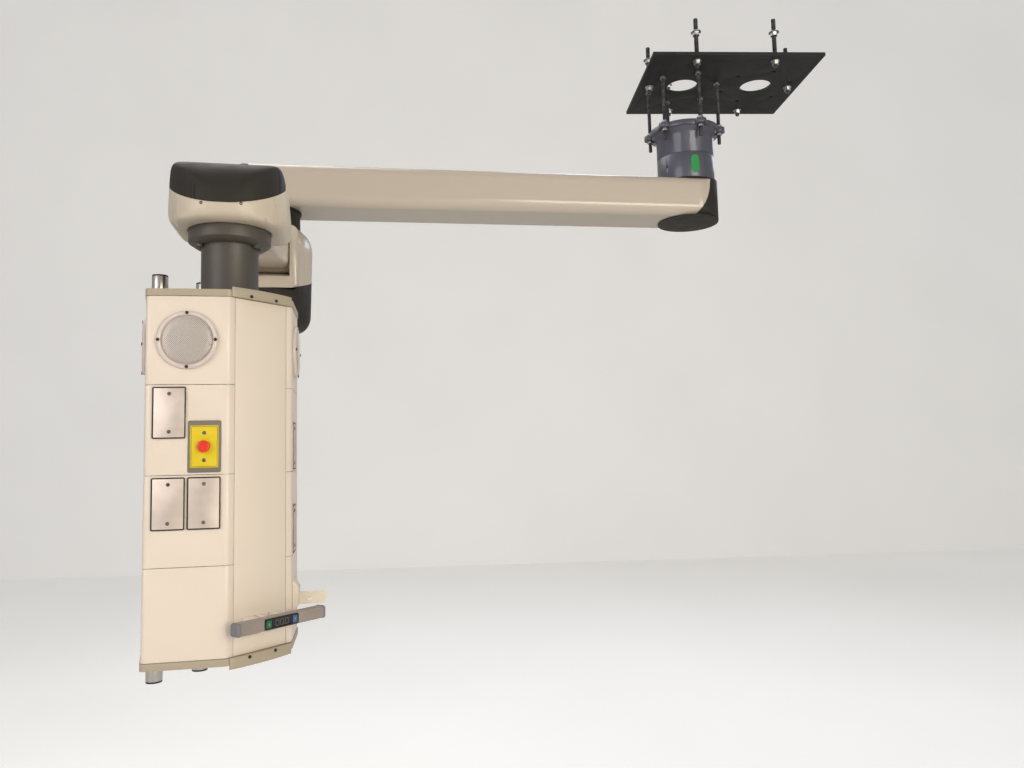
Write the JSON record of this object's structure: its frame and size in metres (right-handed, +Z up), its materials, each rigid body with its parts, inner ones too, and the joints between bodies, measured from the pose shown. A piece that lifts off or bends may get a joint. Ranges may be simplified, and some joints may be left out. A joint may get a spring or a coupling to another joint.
{
  "type": "ceiling-mounted medical service boom",
  "caption": "Ceiling-mounted medical service boom: ceiling plate on studs, hub, extension arm, elbow, levelling lift arm and a swivelling service head with speakers, plates and a handle.",
  "frame": {"origin": "centre of the ceiling plate's top face", "axes": "+Z up; +X along the plate's long side from station A, which carries this boom, to station B; +Y towards the back of the room in the picture"},
  "size_m": [2.2195, 1.5517, 2.1365],
  "materials": {
    "plate_black": "satin powder coat",
    "rod_steel": "threaded, dark",
    "zinc": "zinc plated",
    "hub_paint": "metallic satin",
    "machined_steel": "machined",
    "beam_white": "glossy powder coat",
    "cap_charcoal": "satin moulded plastic",
    "head_cream": "satin",
    "collar_grey": "satin",
    "frame_steel": "plated sheet",
    "trim_beige": "satin",
    "panel_cream": "satin powder coat",
    "post_steel": "brushed tube",
    "post_cap": "moulded",
    "bezel_white": "moulded",
    "grille_silver": "perforated sheet",
    "speaker_black": "pressed basket and magnet",
    "faceplate_steel": "brushed",
    "box_zinc": "plated sheet",
    "call_grey": "moulded",
    "insert_yellow": "moulded",
    "button_red": "moulded",
    "handle_grey": "satin",
    "display_black": "glass clear cover",
    "key_green": "soft key",
    "key_blue": "soft key",
    "bracket_ivory": "powder coat"
  },
  "bodies": {
    "ceiling_mount": {"ceiling_plate": "plate_black", "building_rods": "rod_steel", "building_nuts": "zinc", "hub_studs": "rod_steel", "hub_nuts": "zinc", "hub_casting": "hub_paint", "hub_cover": "hub_paint", "hub_bearings": "machined_steel"},
    "extension_arm": {"hub_shaft": "machined_steel", "arm_beam": "beam_white", "arm_hub_cap": "cap_charcoal", "arm_elbow_cap": "cap_charcoal", "elbow_bearings": "machined_steel"},
    "elbow": {"elbow_shaft": "machined_steel", "elbow_collar": "cap_charcoal", "elbow_housing": "beam_white", "elbow_cover": "cap_charcoal", "root_pin": "machined_steel", "root_link_pin": "machined_steel"},
    "lift_arm": {"lift_shell": "beam_white", "lift_spring": "rod_steel"},
    "level_link": {"lift_link": "rod_steel"},
    "front_head": {"head_housing": "head_cream", "head_cap": "cap_charcoal", "tip_pin": "machined_steel", "tip_link_pin": "machined_steel", "swivel_collar": "collar_grey", "swivel_bearing": "machined_steel"},
    "service_head": {"drop_tube": "collar_grey", "head_frame": "frame_steel", "head_uprights": "frame_steel", "top_trim": "trim_beige", "bottom_trim": "trim_beige", "front_panel": "panel_cream", "rear_panel": "panel_cream", "left_modules": "panel_cream", "right_modules": "panel_cream", "rear_left_modules": "panel_cream", "rear_right_modules": "panel_cream", "trim_brackets": "trim_beige", "posts": "post_steel", "post_caps": "post_cap", "speaker_bezels": "bezel_white", "speaker_grilles": "grille_silver", "speaker_units": "speaker_black", "wall_plates": "faceplate_steel", "back_boxes": "box_zinc", "call_plate": "call_grey", "call_insert": "insert_yellow", "handle_bar": "handle_grey", "handle_arms": "panel_cream", "handle_display": "display_black", "side_base": "panel_cream", "side_bracket": "bracket_ivory"},
    "call_button": {"call_button": "button_red"},
    "up_key": {"up_key": "key_green"},
    "down_key": {"down_key": "key_blue"}
  },
  "joints": [
    {"name": "hub_swivel", "type": "hinge", "parent": "ceiling_mount", "child": "extension_arm", "pos_m": [-0.149, 0, -0.4], "axis": [0, 0, 1], "range_deg": [-172, 158]},
    {"name": "elbow_swivel", "type": "hinge", "parent": "extension_arm", "child": "elbow", "pos_m": [-1.74052, -0.16447, -0.644], "axis": [0, 0, 1], "range_deg": [-225, 65]},
    {"name": "lift_pitch", "type": "hinge", "parent": "elbow", "child": "lift_arm", "pos_m": [-1.72677, -0.25543, -0.739], "axis": [0.9888, 0.1495, 0], "range_deg": [-11, 12.5]},
    {"name": "link_pitch", "type": "hinge", "parent": "elbow", "child": "level_link", "pos_m": [-1.72677, -0.25543, -0.773], "axis": [0.9888, 0.1495, 0], "range_deg": [-11, 12.5]},
    {"name": "head_level", "type": "hinge", "parent": "lift_arm", "child": "front_head", "pos_m": [-1.61394, -1.00144, -0.83833], "axis": [0.9888, 0.1495, 0], "range_deg": [-12.5, 11]},
    {"name": "head_swivel", "type": "hinge", "parent": "front_head", "child": "service_head", "pos_m": [-1.59779, -1.10823, -0.91233], "axis": [0, 0, 1], "range_deg": [-165, 165]},
    {"name": "call_press", "type": "slide", "parent": "service_head", "child": "call_button", "axis": [-0.1305, 0.9914, 0], "range_m": [0, 0.004], "stiffness_N_per_m": 400, "springref_m": -0.0005},
    {"name": "up_press", "type": "slide", "parent": "service_head", "child": "up_key", "axis": [-0.7934, 0.6088, 0], "range_m": [0, 0.0012], "stiffness_N_per_m": 900, "springref_m": -0.0003},
    {"name": "down_press", "type": "slide", "parent": "service_head", "child": "down_key", "axis": [-0.7934, 0.6088, 0], "range_m": [0, 0.0012], "stiffness_N_per_m": 900, "springref_m": -0.0003}
  ],
  "couplings": [
    {"joint": "link_pitch", "follows": "lift_pitch", "ratio": 1},
    {"joint": "head_level", "follows": "lift_pitch", "ratio": -1}
  ]
}
